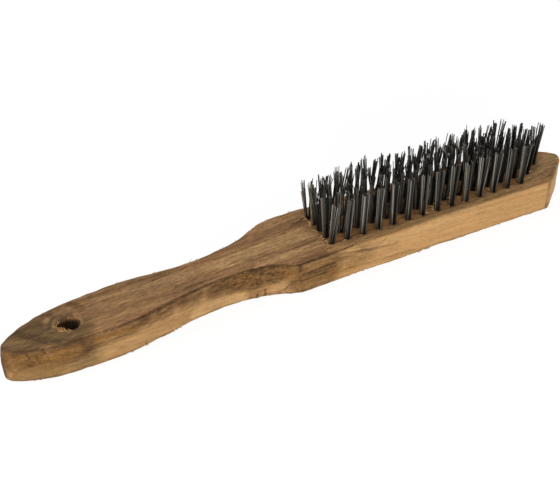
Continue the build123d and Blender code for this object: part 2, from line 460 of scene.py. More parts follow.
def paint_marks(points, side_share, from_edge):
    """Weathering, stains, torn places, painted shade and painted highlights, as one value from 0 to 1 a point
    for each kind.
    """
    marks = {kind: np.zeros(len(points)) for kind in mark_kinds}

    def lay(kind, strength):
        """Lays one more mark over the others of its kind."""
        marks[kind] = 1 - (1 - marks[kind]) * (1 - np.clip(strength, 0, 1))

    depth = wood_thickness - points[:, 2]
    # a mark fades out where its surface turns away; the near wall's go on round the handle's end
    on_face = soft_step(wood_thickness - 1.6, wood_thickness - 0.4, points[:, 2])
    facing_end = -side_share[:, 0] * soft_step(-100, -115, points[:, 0])
    on_near_wall = soft_step(0.05, 0.5, np.maximum(-side_share[:, 1], facing_end))
    # the far wall has the near one's stains, only fainter, and none of its cracks or torn places
    on_both_walls = np.maximum(on_near_wall, 0.6 * soft_step(0.05, 0.5, side_share[:, 1]))
    grain = along_grain(points)
    patchy = 0.95 + 0.20 * soft_noise(grain, (5, 1.0, 1.0), 41)
    for kind in mark_kinds:
        on_wall = on_both_walls if kind in stains else on_near_wall
        wear = 1.0 if kind == "cut" else patchy
        for width, strength, *path in face_marks.get(kind, ()):
            lay(kind, strength * on_face * stroke(points[:, :2], path, width) * wear)
        for width, strength, *path in wall_marks[kind]:
            lay(kind, strength * on_wall * stroke(points[:, ::2], path, width) * wear)

    # painted shade in the deepest chips
    lay("dark", 0.25 * marks["torn"] * soft_step(0.45, 1.1, torn_chips(points)))
    # painted shade down the tuft holes, and round the tufts' mouths, where it is partly dirt too
    distance = np.min([np.linalg.norm(points[:, :2] - hole, axis=1) for hole in tuft_holes], axis=0)
    distance -= tuft_hole_radius
    lay("dark", on_face * np.exp(-((np.clip(distance, 0, None) / 0.7) ** 2)) * 0.65 * patchy)
    lay("dark", ((distance < 0.1) & (depth > 0.2) & (depth < tuft_hole_depth + 1.0)) * 0.9)
    # painted shade down the hang hole's bore, darkest away from its mouths
    in_bore = np.linalg.norm(points[:, :2] - hang_centre, axis=1) < hang_radius + 2.6
    lay("dark", in_bore * soft_step(0.5, 2.2, np.minimum(points[:, 2], depth)) * 0.88)

    # sun and hands have browned the bristle face and the flat back, up to a fresh border along the walls
    places = (-100, -60, -10, 5, 30, 45, 62, 84)
    widths = (0.2, 0.5, 0.5, 0.8, 1.0, 2.1, 1.8, 0.9)
    border = np.interp(points[:, 0], places, widths) + 0.12 * soft_noise(grain, (6, 0.8, 0.8), 42)
    marks["weathered"] = soft_step(-0.15, 0.15, from_edge - border)
    return marks


# ---------------------------------------------------------------- the wood block's mesh


def ring_points(centre, radius, count, seed=0, raggedness=0.0):
    """A circle of points whose radius wanders by raggedness."""
    turn = np.arange(count) / count * 2 * math.pi
    circle = np.column_stack([np.cos(turn), np.sin(turn), np.full(count, float(seed))])
    radius = radius + raggedness * soft_noise(circle * 3 + 31.7, (1, 1, 1), seed)
    return centre + circle[:, :2] * radius[:, None]


def wall_profile():
    """The rings of points from the flat back up round the wall to the bristle face: how far each lies inside
    the outline, and how high. Also how far the upper and the lower edge are rounded."""
    around = at_height(outline, 0.0)
    top_round = 0.95 + 0.35 * soft_noise(around, (22, 22, 1), 1) + 0.2 * soft_noise(around, (4, 4, 1), 2)
    for place, reach, amount in (
        ((-24, -14), 8.0, 0.7),
        ((-10, -16), 7.0, 1.1),
        ((-60, -17), 18.0, 0.5),
        ((-128, -16), 6.0, 0.6),
    ):
        top_round += amount * closeness(outline, place, reach)
    top_round = np.clip(top_round, 0.4, 2.2)
    base_round = 0.8 + 0.3 * soft_noise(around, (18, 18, 1), 3) + 0.25 * soft_noise(around, (3, 3, 1), 4)
    base_round += 0.5 * closeness(outline, (80, -19), 32.0)
    base_round -= 0.3 * closeness(outline, (-110, -19), 14.0)
    # the wall at the handle's end is rounder: it swells between its edges and spreads towards the back
    at_end = closeness(outline, (-131, -14), 8.0)
    base_round = np.clip(base_round + 0.35 * at_end, 0.3, 1.6)
    swell, spread = 0.9 * at_end, -0.8 * at_end

    flat_back, flat_top = np.zeros(station_count), np.full(station_count, wood_thickness)
    profile = [(np.full(station_count, rim_inset), flat_back)]
    profile.append(((rim_inset + base_round + spread) / 2, flat_back))
    turns = [row / (round_rows - 1) * math.pi / 2 for row in range(round_rows)]
    for turn in turns:
        profile.append((spread + base_round * (1 - math.sin(turn)), base_round * (1 - math.cos(turn))))
    for row in range(1, wall_rows):
        share = row / wall_rows
        height = base_round + share * (wood_thickness - top_round - base_round)
        profile.append((spread * (1 - share) ** 2 - swell * math.sin(share * math.pi), height))
    for turn in reversed(turns):
        profile.append((top_round * (1 - math.sin(turn)), wood_thickness - top_round * (1 - math.cos(turn))))
    for share in (0.25, 0.5, 0.75, 1.0):
        profile.append((top_round + share * (rim_inset - top_round), flat_top))
    return profile, top_round, base_round


def fill_face(border, holes, step, facing_up, rng):
    """Fills a flat face between its border and its holes. Returns the points it adds, and triangles that
    number the border's points first, then each hole's, and then the added ones."""
    low, high = outline.min(axis=0), outline.max(axis=0)
    columns = np.arange(low[0], high[0], step)
    rows = np.arange(low[1], high[1], step * 0.866)  # closer than the columns, for even triangles
    inner = np.array([(x + (k % 2) * step / 2, y) for k, y in enumerate(rows) for x in columns])
    inner += rng.uniform(-face_jitter, face_jitter, inner.shape) * step
    inner = inner[inside_loop(inner, outline - outline_out * (rim_inset + 0.6 * step))]
    for hole in holes:
        centre = hole.mean(axis=0)
        reach = np.linalg.norm(hole - centre, axis=1).max() + hole_margin
        inner = inner[np.linalg.norm(inner - centre, axis=1) > reach]
    edges, first = [], 0
    for loop in (border, *holes):
        edges += [(first + i, first + (i + 1) % len(loop)) for i in range(len(loop))]
        first += len(loop)
    flat = np.vstack([border, *holes, inner])
    made = delaunay_2d_cdt([Vector(p) for p in flat], edges, [], 0, 1e-7)
    source = [s[0] for s in made[3]]
    triangles = np.array([[source[i] for i in f] for f in made[2]])
    centres = flat[triangles].mean(axis=1)
    a, b, c = (flat[triangles[:, k]] for k in range(3))
    turn = (b[:, 0] - a[:, 0]) * (c[:, 1] - a[:, 1]) - (b[:, 1] - a[:, 1]) * (c[:, 0] - a[:, 0])
    keep = inside_loop(centres, border) & (abs(turn) > 1e-9)
    for hole in holes:
        keep &= ~inside_loop(centres, hole)
    turned_over = (turn > 0) != facing_up
    triangles[turned_over] = triangles[turned_over, ::-1]
    return inner, triangles[keep]


def make_wood_mesh():
    """The block as one closed mesh: worn walls and edges, flat faces with their holes, and the holes."""
    vertices, faces = [], []

    def add_points(points, height):
        first = sum(len(v) for v in vertices)
        vertices.append(at_height(points, height))
        return first + np.arange(len(points))

    def add_band(lower, upper):
        """Four-sided faces between two rings of vertex numbers."""
        faces.extend(zip(lower, np.roll(lower, -1), np.roll(upper, -1), upper))

    # the worn border and the wall
    profile, top_round, base_round = wall_profile()
    rings = [add_points(outline - outline_out * inset[:, None], height) for inset, height in profile]
    for lower, upper in zip(rings, rings[1:]):
        add_band(lower, upper)

    # the hang hole goes right through, and its mouths are broken out where the drill went in and came out
    circle = ring_points(hang_centre, hang_radius, hang_hole_sides)
    away = (circle - hang_centre) / hang_radius
    broken = 0.15 + 1.3 * closeness(away, (-0.94, 0.34), 0.60) + 1.1 * closeness(away, (0.92, 0.38), 0.50)
    hang_rings = []
    for height in np.linspace(0, 1, hang_hole_rings) * wood_thickness:
        spots = at_height(circle, height)
        depth = min(height, wood_thickness - height)
        breakage = np.clip(broken + 0.25 * soft_noise(spots, (1.8, 1.8, 9), 22), 0, 2.4)
        ragged = 0.12 * soft_noise(spots, (1.6, 1.6, 4), 21) + math.exp(-((depth / 2.4) ** 2)) * breakage
        ring = circle + away * ragged[:, None]
        hang_rings.append((ring, add_points(ring, height)))
    for (_, lower), (_, upper) in zip(hang_rings, hang_rings[1:]):
        add_band(lower[::-1], upper[::-1])

    # the tuft holes are blind, with the drill's point at the bottom
    top_holes = [hang_rings[-1]]
    for number, centre in enumerate(tuft_holes):
        mouth_radius = tuft_hole_radius + mouth_flare
        mouth = ring_points(centre, mouth_radius, hole_sides, seed=number, raggedness=mouth_raggedness)
        upper = add_points(mouth, wood_thickness)
        top_holes.append((mouth, upper))
        for depth in (0.35, 3.0, tuft_hole_depth):
            lower = add_points(ring_points(centre, tuft_hole_radius, hole_sides), wood_thickness - depth)
            add_band(lower[::-1], upper[::-1])
            upper = lower
        tip = add_points([centre], wood_thickness - tuft_hole_depth - drill_point_height)[0]
        faces.extend((after, tip, before) for before, after in zip(upper, np.roll(upper, -1)))

    # the flat back and the bristle face
    rng = np.random.default_rng(7)
    border = outline - outline_out * rim_inset
    for ring, height, holes, step in (
        (rings[0], 0.0, hang_rings[:1], back_step),
        (rings[-1], wood_thickness, top_holes, face_step),
    ):
        inner, triangles = fill_face(border, [loop for loop, _ in holes], step, height > 0, rng)
        numbers = np.concatenate([ring, *(own for _, own in holes), add_points(inner, height)])
        faces.extend(numbers[triangles])

    points = np.vstack(vertices)
    # which way the surface faces: out of the side wall, and out of the flat faces
    side_share = np.zeros((len(points), 2))
    flat_share = np.zeros(len(points))
    from_edge = np.full(len(points), rim_inset)
    for ring, (inset, height) in zip(rings, profile):
        upper_half = height > wood_thickness / 2
        lean = np.clip(1 - inset / np.where(upper_half, top_round, base_round), 0, 1)
        from_edge[ring] = inset
        side_share[ring] = outline_out * lean[:, None]
        flat_share[ring] = np.where(upper_half, 1, -1) * np.sqrt(1 - lean**2)
    rest = np.arange(len(points)) > rings[-1][-1]
    flat_share[rest & (points[:, 2] > wood_thickness - 0.01)] = 1
    flat_share[rest & (points[:, 2] < 0.01)] = -1

    marks = paint_marks(points, side_share, from_edge)
    relief = surface_relief(points) - torn_depth * marks["torn"] * torn_chips(points)
    relief -= cut_depth * marks["cut"]
    points[:, :2] += side_share * relief[:, None]
    points[:, 2] = np.maximum(points[:, 2] + flat_share * relief, 0)  # the flat back rests on its high spots
    mesh = bpy.data.meshes.new("wood_block")
    mesh.from_pydata((points * MM).tolist(), [], [tuple(int(i) for i in f) for f in faces])
    mesh.validate()
    mesh.shade_smooth()
    mesh.set_sharp_from_angle(angle=math.radians(50))
    for label, values in marks.items():
        mesh.attributes.new(label, "FLOAT", "POINT").data.foreach_set("value", values)
    return mesh


# ---------------------------------------------------------------- the wood block's material


def wood_material():
    """Raw sawn hardwood: dull and long grained, brown where it has weathered and golden where it is fresh."""
    material, add = make_material("raw_sawn_hardwood")
    place = add("ShaderNodeTexCoord").outputs["Object"]
    # one unit is a millimetre, and the first axis runs along the fibres
    turned = (0, math.radians(-4.4), math.radians(-6.0))
    fibres = add("ShaderNodeMapping", {"Vector": place, "Rotation": turned, "Scale": (1000, 1000, 1000)})

    def grain_noise(length, width, detail):
        """Soft blotches of this length along the fibres and width across them, in mm."""
        stretched = add(VECTOR, [fibres, (1 / length, 1 / width, 1 / width)], "MULTIPLY")
        return add(NOISE, {"Vector": stretched, "Scale": 1.0, "Detail": detail}).outputs["Fac"]

    usual = {"From Min": 0.3, "From Max": 0.7}  # nearly all of a noise's values lie between these
    blotches = grain_noise(2.4, 0.7, 3.0)

    def painted(kind, raggedness):
        """The strength of one kind of mark, with its edges broken up along the grain."""
        mark = add(VALUE, attribute_name=kind).outputs["Fac"]
        ends = {"To Min": -raggedness / 2, "To Max": raggedness / 2}
        offset = add(SPREAD, {"Value": blotches, **usual, **ends})
        share = add(SPREAD, {"Value": mark, "From Max": 0.25})
        return add(MATH, [offset, share, mark], "MULTIPLY_ADD", use_clamp=True)

    # the yearly rings, cut along their length
    wander = grain_noise(140, 16, 2.0)
    heart = (0.0, 34.0, 42.0)  # how far off the middle of the tree was
    across = add(VECTOR, [fibres, heart], "ADD")
    across = add(VECTOR, [across, (0.0, 1.0, 1.0)], "MULTIPLY")
    from_heart = add(VECTOR, [across], "LENGTH").outputs["Value"]
    from_heart = add(MATH, [wander, 6.0, from_heart], "MULTIPLY_ADD")
    wood_rings = {"W": from_heart, "Scale": 0.5, "Detail": 3.0, "Roughness": 0.6}
    rings = add(NOISE, wood_rings, noise_dimensions="1D").outputs["Fac"]
    rings = add(SPREAD, {"Value": rings, **usual})

    # golden where it is fresh and brown where it has weathered
    weathered = add(VALUE, attribute_name="weathered").outputs["Fac"]
    fresh = add(MIX, {"Factor": rings, "A": "#b78b57", "B": "#ca9d67"}, data_type="RGBA")
    old = add(MIX, {"Factor": rings, "A": "#946b44", "B": "#b2865b"}, data_type="RGBA")
    colour = add(MIX, {"Factor": weathered, "A": fresh, "B": old}, data_type="RGBA")

    # stains and pale marks, some of the pale ones painted highlights, then the torn fibres, which are golden
    # brown with fine specks of dirt between them
    torn = add(VALUE, attribute_name="torn").outputs["Fac"]
    torn_share = add(MATH, [torn, 0.75], "MULTIPLY")
    specks = add(SPREAD, {"Value": grain_noise(2.6, 0.8, 2.0), "From Min": 0.48, "From Max": 0.62})
    specks = add(MATH, [torn, specks], "MULTIPLY")
    specks = add(MATH, [specks, 0.85], "MULTIPLY")
    for share, code in (
        (painted("olive", 0.2), "#5f4d2c"),
        (painted("brown", 0.25), "#5a3d1c"),
        (painted("golden", 0.4), "#9a6a2e"),
        (painted("pale", 0.4), "#cfa671"),
        (torn_share, "#835e2f"),
        (specks, "#361f08"),
    ):
        colour = add(MIX, {"Factor": share, "A": colour, "B": code}, data_type="RGBA")

    # streaks, fibres and mottling: plainer on the freshly sawn walls
    aged = add(VALUE, attribute_name="brown").outputs["Fac"]
    aged = add(MATH, [weathered, aged], "MAXIMUM")
    contrast = add(SPREAD, {"Value": aged, "To Min": 0.32})
    fine = grain_noise(3.6, 0.30, 3.0)
    streaks = grain_noise(30, 1.2, 4.0)
    for noise, low, high in (
        (grain_noise(70, 4, 2.0), 0.88, 1.10),
        (streaks, 0.76, 1.18),
        (fine, 0.67, 1.24),
        (grain_noise(1.5, 0.9, 2.0), 0.87, 1.10),
    ):
        shade = add(SPREAD, {"Value": noise, **usual, "To Min": low, "To Max": high})
        layers = {"Factor": contrast, "A": colour, "B": shade}
        colour = add(MIX, layers, data_type="RGBA", blend_type="MULTIPLY")

    # thin dark lines between the fibres, pores cut open by the saw, and over all the dark marks: stains, and
    # the painted shade in holes, chips and round the tufts.
    # The pores and lines are drawn twice as wide as real ones, because finer ones would not show.
    pores = add(SPREAD, {"Value": grain_noise(3.2, 0.42, 1.0), "From Min": 0.62, "From Max": 0.72})
    lines = add(SPREAD, {"Value": grain_noise(18, 0.36, 2.0), "From Min": 0.58, "From Max": 0.67})
    shares = []
    for thin, strength in ((lines, 0.70), (pores, 0.50)):
        share = add(MATH, [thin, strength], "MULTIPLY")
        shares.append(add(MATH, [share, contrast], "MULTIPLY"))
    for share, code in zip((*shares, painted("dark", 0.4)), ("#54371d", "#54371d", "#38220b")):
        colour = add(MIX, {"Factor": share, "A": colour, "B": code}, data_type="RGBA")

    height = add(MATH, [streaks, fine], "ADD")
    height = add(MATH, [pores, -0.6, height], "MULTIPLY_ADD")
    bump = add("ShaderNodeBump", {"Height": height, "Strength": 0.8, "Distance": 0.16 * MM})
    look = {"Base Color": colour, "Roughness": 0.75, "Specular IOR Level": 0.25, "Normal": bump}
    add("ShaderNodeOutputMaterial", {"Surface": add("ShaderNodeBsdfPrincipled", look)})
    return material


raw_wood = wood_material()
wood_block = new_object("wood_block", make_wood_mesh())
wood_block.data.materials.append(raw_wood)
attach(wood_block, "root")
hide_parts("handle_block")


# ---------------------------------------------------------------- what the grown pieces share


def start_tree(name, sizes):
    """An empty Geometry Nodes tree with named inputs: the function that adds nodes to it, and its inputs."""
    tree = bpy.data.node_groups.new(name, "GeometryNodeTree")
    tree.interface.new_socket("Points", in_out="INPUT", socket_type="NodeSocketGeometry")
    for label, value in sizes.items():
        kind = "NodeSocketInt" if isinstance(value, int) else "NodeSocketFloat"
        tree.interface.new_socket(label, in_out="INPUT", socket_type=kind).default_value = value
    tree.interface.new_socket("Mesh", in_out="OUTPUT", socket_type="NodeSocketGeometry")
    return tree, adder(tree), tree.nodes.new("NodeGroupInput").outputs


def lines_on(add, points, count):
    """A curve with this many points on each point. Where its points go is set afterwards."""
    line = add("GeometryNodeCurvePrimitiveLine", {"End": (0, 0, 1)})
    blank = add("GeometryNodeResampleCurve", {"Curve": line, "Count": count})
    lines = add("GeometryNodeInstanceOnPoints", {"Points": points, "Instance": blank})
    return add("GeometryNodeRealizeInstances", {"Geometry": lines})


def end_tree(add, curves, section, material, **scale):
    """Makes the curves closed tubes of this section and material, and hands them out of the tree."""
    tubes = {"Curve": curves, "Profile Curve": section, "Fill Caps": True, **scale}
    solid = add("GeometryNodeRealizeInstances", {"Geometry": add("GeometryNodeCurveToMesh", tubes)})
    finished = add("GeometryNodeSetMaterial", {"Geometry": solid, "Material": material})
    add("NodeGroupOutput", [finished])


def grown(name, points, attributes, tree, sizes=()):
    """Runs a Geometry Nodes tree on loose points and keeps the result as one plain mesh."""
    seed_mesh = bpy.data.meshes.new(name + "_points")
    seed_mesh.from_pydata([tuple(p) for p in points], [], [])
    for label, values in attributes.items():
        values = np.asarray(values, float)
        kind, field = ("FLOAT_VECTOR", "vector") if values.ndim == 2 else ("FLOAT", "value")
        seed_mesh.attributes.new(label, kind, "POINT").data.foreach_set(field, values.ravel())
    seed = new_object(name + "_points", seed_mesh)
    modifier = seed.modifiers.new("grow", "NODES")
    modifier.node_group = tree
    for item in tree.interface.items_tree:
        if item.in_out == "INPUT" and item.name in dict(sizes):
            modifier[item.identifier] = dict(sizes)[item.name]
    bpy.context.view_layer.update()
    evaluated = seed.evaluated_get(bpy.context.evaluated_depsgraph_get())
    mesh = bpy.data.meshes.new_from_object(evaluated)
    mesh.name = name
    bpy.data.objects.remove(seed)
    return new_object(name, mesh)


# ---------------------------------------------------------------- wire tufts


# what differs from tuft to tuft, beside the way it leans
tuft_habits = ("lift", "ragged", "worn", "parting", "turned", "fan", "other_fan", "looseness", "rubbed")


def wire_tuft_tree(material):
    """Geometry Nodes: each point of the input becomes a tuft of wires folded over its anchor.
    The points carry how far the tip stands aside (lean) and above the rest (lift), how uneven its wires'
    lengths are (ragged), the share that have broken off short (worn), how far its two halves part (parting),
    how far it is turned beside the usual twist (turned), how much each half widens to the tip (fan and
    other_fan), how far single wires stray (looseness), and how bright work keeps them, less painted shade in
    the rows behind the front one (rubbed)."""
    sizes = {
        "Wires": sum(courses),
        "Wire Thickness": wire_thickness * MM,
        "Wire Pitch": wire_pitch * MM,
        "Mouth Height": wood_thickness * MM,
        "Tip Height": tip_height * MM,
        "Longest Break": longest_break * MM,
        "Anchor Angle": math.radians(anchor_angle),
        "Twist": math.radians(tuft_twist),
        "Seed": 5,
    }
    tree, add, given = start_tree("folded_wire_tufts", sizes)

    # one point for each wire, which keeps its number in the tuft, its own number and its hole
    copied = {"Geometry": given["Points"], "Amount": given["Wires"]}
    copies = add("GeometryNodeDuplicateElements", copied, domain="POINT").outputs
    points = copies["Geometry"]
    for name, value, kind in (
        ("wire", copies["Duplicate Index"], "INT"),
        ("piece", add("GeometryNodeInputIndex"), "INT"),
        ("hole", add("GeometryNodeInputPosition"), "FLOAT_VECTOR"),
    ):
        kept = {"Geometry": points, "Name": name, "Value": value}
        points = add(STORE, kept, data_type=kind, domain="POINT")
    # each is a curve whose steps are counted from the middle of its fold, both ways: to where it leaves the
    # fold, to where it leaves the wood, and to its tip
    fold_end, mouth, tip = 2, 3, 6
    wires = lines_on(add, points, 2 * tip + 1)
    kinds = {"wire": "INT", "piece": "INT", "hole": "FLOAT_VECTOR", "lean": "FLOAT_VECTOR"}
    kinds.update({name: "FLOAT" for name in tuft_habits})
    own = {name: add(READ, {"Name": name}, data_type=kind) for name, kind in kinds.items()}

    # the wire runs from one tip (-1) down round the fold (0) and up to the other tip (1)
    covered = add("GeometryNodeSplineParameter").outputs["Factor"]
    run = add(MATH, [covered, 2.0, -1.0], "MULTIPLY_ADD")
    side = add(MATH, [run], "SIGN")
    first_half = add(MATH, [run, 0.0], "GREATER_THAN")
    step = add(MATH, [run], "ABSOLUTE")
    step = add(MATH, [step, tip], "MULTIPLY")
    turn = add(SPREAD, {"Value": step, "From Max": fold_end, "To Max": math.pi / 2})
    in_hole = add(SPREAD, {"Value": step, "From Min": fold_end, "From Max": mouth})
    above = add(SPREAD, {"Value": step, "From Min": mouth, "From Max": tip})

    # which course the wire lies in, and where along the anchor
    course, middle, first = 0.0, (courses[0] - 1) / 2, 0
    for inner_count, count in zip(courses, courses[1:]):
        first += inner_count
        further = add(MATH, [own["wire"], first - 0.5], "GREATER_THAN")
        course = add(MATH, [course, further], "ADD")
        middle = add(MATH, [further, (inner_count + count) / 2, middle], "MULTIPLY_ADD")
    along = add(MATH, [own["wire"], middle], "SUBTRACT")
    along = add(MATH, [along, given["Wire Pitch"]], "MULTIPLY")
    from_anchor = add(MATH, [course, course_spacing, first_course], "MULTIPLY_ADD")
    from_anchor = add(MATH, [from_anchor, given["Wire Pitch"]], "MULTIPLY")

    # each end of a wire has its own stray, length and tone, and each wire its own bow
    end_number = add(MATH, [own["piece"], 2.0, first_half], "MULTIPLY_ADD")
    draw = {"Seed": given["Seed"], "ID": end_number}
    other_draw = {"Seed": add(MATH, [given["Seed"], 100.0], "ADD"), "ID": end_number}
    scatter = add(RANDOM, {"Min": (-1, -1, -1), "Max": (1, 1, 1), **draw}, data_type="FLOAT_VECTOR")
    bow = {"Min": (-1, -1, 0), "Max": (1, 1, 0), "Seed": given["Seed"], "ID": own["piece"]}
    bow = add(RANDOM, bow, data_type="FLOAT_VECTOR")
    wildness = add(RANDOM, draw, data_type="FLOAT").outputs[1]
    luck = add(RANDOM, other_draw, data_type="FLOAT").outputs[1]

    # the place across the tuft: the wires widen to the tip, and the halves part
    fan = add(MIX, {"Factor": first_half, "A": own["other_fan"], "B": own["fan"]}, data_type="FLOAT")
    wider = add(MATH, [fan, above, 1.0], "MULTIPLY_ADD")
    sideways = add(MATH, [turn], "SINE")
    for factor in (from_anchor, wider):
        sideways = add(MATH, [sideways, factor], "MULTIPLY")
    sideways = add(MATH, [own["parting"], above, sideways], "MULTIPLY_ADD")
    sideways = add(MATH, [sideways, side], "MULTIPLY")
    along = add(MATH, [along, wider], "MULTIPLY")
    flat = add("ShaderNodeCombineXYZ", {"X": along, "Y": sideways})
    twist = add(MATH, [given["Twist"], own["turned"]], "ADD")
    angle = add(MATH, [in_hole, twist, given["Anchor Angle"]], "MULTIPLY_ADD")
    flat = add("ShaderNodeVectorRotate", {"Vector": flat, "Angle": angle}, rotation_type="Z_AXIS")

    # most wires stay close to the tuft, and a few stand well away
    stray = add(MATH, [wildness, 6.0], "POWER")
    stray = add(MATH, [stray, 2.0, 0.6], "MULTIPLY_ADD")
    stray = add(MATH, [stray, own["looseness"]], "MULTIPLY")
    loose = add(VECTOR, [scatter, (1, 1, 0)], "MULTIPLY")
    loose = add(VECTOR, {0: loose, "Scale": stray}, "SCALE")
    loose = add(VECTOR, [loose, own["lean"]], "ADD")
    loose = add(VECTOR, {0: loose, "Scale": above}, "SCALE")
    belly = add(MATH, [above, math.pi], "MULTIPLY")
    belly = add(MATH, [belly], "SINE")
    for factor in (own["looseness"], 0.1):
        belly = add(MATH, [belly, factor], "MULTIPLY")
    bowed = add(VECTOR, {0: bow, "Scale": belly}, "SCALE")

    # the height: the fold, the hole, and the length above the wood, which differs from wire to wire
    fold = add(MATH, [turn], "COSINE")
    fold = add(MATH, [fold, from_anchor], "MULTIPLY")
    fold_height = fold_centre_height * MM
    hole_length = add(MATH, [given["Mouth Height"], fold_height], "SUBTRACT")
    height = add(MATH, [in_hole, hole_length, fold_height], "MULTIPLY_ADD")
    height = add(MATH, [height, fold], "SUBTRACT")
    length = add(MATH, [given["Tip Height"], given["Mouth Height"]], "SUBTRACT")
    length = add(MATH, [length, own["lift"]], "ADD")
    uneven = add("ShaderNodeSeparateXYZ", {"Vector": scatter}).outputs["Z"]
    length = add(MATH, [uneven, own["ragged"], length], "MULTIPLY_ADD")
    lost = {"Value": luck, "From Max": own["worn"], "To Min": given["Longest Break"], "To Max": 0.0}
    length = add(MATH, [length, add(SPREAD, lost)], "SUBTRACT")
    height = add(MATH, [above, length, height], "MULTIPLY_ADD")
    upright = add("ShaderNodeCombineXYZ", {"Z": height})

    place = own["hole"]
    for part in (flat, loose, bowed, upright):
        place = add(VECTOR, [place, part], "ADD")
    wires = add("GeometryNodeSetPosition", {"Geometry": wires, "Position": place})
    # painted light: one half of each tuft is painted brighter than the other as its lit side, and both are
    # scaled by the tuft's brightness from work and painted shade
    leading = add(MIX, {"Factor": first_half, "A": 0.62, "B": 1.0}, data_type="FLOAT")
    shine = add(MATH, [leading, own["rubbed"]], "MULTIPLY")
    for name, value in (("tone", wildness), ("above", above), ("course", course), ("shine", shine)):
        kept = {"Geometry": wires, "Name": name, "Value": value}
        wires = add(STORE, kept, data_type="FLOAT", domain="POINT")
    radius = add(MATH, [given["Wire Thickness"], 0.5], "MULTIPLY")
    section = add("GeometryNodeCurvePrimitiveCircle", {"Resolution": tube_sides, "Radius": radius})
    end_tree(add, wires, section, material)
    return tree


def wire_material():
    """Drawn carbon steel wire, tarnished: dull grey-brown with a low sheen, each wire a little lighter or
    darker than its neighbours. The inner courses of each tuft are darker, partly with oil and dirt and partly
    as painted shade, and rubbing keeps the outer ones bright. One half of each tuft is painted lighter as its
    lit side, and the wires are painted darker near the wood as shade."""
    material, add = make_material("drawn_carbon_steel_wire")
    names = ("tone", "above", "course", "shine")
    tone, above, course, shine = (add(VALUE, attribute_name=name).outputs["Fac"] for name in names)
    # the inner courses are darker, most near the wood: partly oil and dirt, partly painted shade inside the
    # tuft
    inner = add(MATH, [above, 0.35, 0.2], "MULTIPLY_ADD")
    rubbed = add(SPREAD, {"Value": course, "From Max": 1.0, "To Min": inner, "To Max": 1.0})
    bright = add(MATH, [tone, 1.6], "POWER")
    bright = add(MATH, [bright, 0.95, 0.1], "MULTIPLY_ADD")
    for share in (rubbed, shine):
        bright = add(MATH, [bright, share], "MULTIPLY")
    steel = add(MIX, {"Factor": bright, "A": "#1b1916", "B": "#cdc7b9"}, data_type="RGBA")
    # painted shade: the wires darken towards the wood, where they crowd into the hole
    root = add(SPREAD, {"Value": above, "From Max": 0.12, "To Min": 0.55})
    layers = {"Factor": 1.0, "A": steel, "B": root}
    colour = add(MIX, layers, data_type="RGBA", blend_type="MULTIPLY")
    shader = add("ShaderNodeBsdfPrincipled", {"Base Color": colour, "Metallic": 0.85, "Roughness": 0.42})
    add("ShaderNodeOutputMaterial", {"Surface": shader})
    return material


def anchor_material():
    """Soft steel wire, cut and hammered flat: plain dull grey."""
    material, add = make_material("flattened_steel_wire")
    shader = add("ShaderNodeBsdfPrincipled", {"Base Color": "#716b61", "Metallic": 0.85, "Roughness": 0.5})
    add("ShaderNodeOutputMaterial", {"Surface": shader})
    return material


wire_tree = wire_tuft_tree(wire_material())
tuft_nodes = sorted(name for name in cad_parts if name.startswith("tuft_column"))
rng = np.random.default_rng(3)
for number, node_name in enumerate(tuft_nodes):
    low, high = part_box(node_name)
    middle = (low.x + high.x) / 2 / MM
    centres = tuft_holes[np.abs(tuft_holes[:, 0] - middle) < 2]
    centres = centres[np.argsort(centres[:, 1])]
    points = at_height(centres, 0.0) * MM
    count = len(points)
    far = soft_step(-10, 10, centres[:, 1])  # the far rows are the most worn and bent
    nearest = centres[:, 1] < -9
    along = number / len(tuft_nodes)
    # the columns lean a little towards the nose, the last three more, and the first one leans back
    lean = rng.normal(0, 0.55, (count, 3)) * [1, 1, 0]
    lean[:, 0] += -0.3 if number == 0 else 0.7 if number >= len(tuft_nodes) - 3 else 0.25
    lift = rng.normal(0, 0.25, count) + far * rng.normal(0.6, 0.6, count)
    parting = rng.uniform(0.0, 0.6, count)
    parting += np.where(nearest, 0.5 * along, rng.uniform(0.5, 1.5, count))
    attributes = {
        "lean": lean * MM,
        "lift": lift * MM,
        "ragged": (0.3 + 0.9 * far) * MM,
        "worn": 0.06 + 0.16 * far,
        "parting": parting * MM,
        "turned": np.radians(rng.normal(0, 16, count)),
        "fan": 0.05 + far * rng.choice([0.3, 0.9, 1.6], count),
        "other_fan": 0.05 + far * rng.choice([0.1, 0.6, 1.4], count),
        "looseness": (0.34 + 0.5 * far * rng.uniform(0.4, 1.6, count)) * MM,
        # the front row is brightest, rubbed by work; the rows behind it are painted darker as the shade of
        # the rows in front, and all grow duller towards the nose
        "rubbed": np.where(nearest, 0.92, 0.58 + 0.2 * far) - 0.32 * along,
    }
    if number == 0:
        # the far corner tuft has lost most of its wires' length, and its outer half stands apart
        corner = {"parting": 0.7 * MM, "worn": 0.75, "fan": 0.9, "other_fan": 0.2}
        for habit, value in corner.items():
            attributes[habit][-1] = value
    piece_name = node_name.replace("tuft_column", "wire_tufts")
    piece = grown(piece_name, points, attributes, wire_tree, {"Seed": 5 + number})
    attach(piece, "root")
    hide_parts(node_name)


# ---------------------------------------------------------------- splinters and burrs


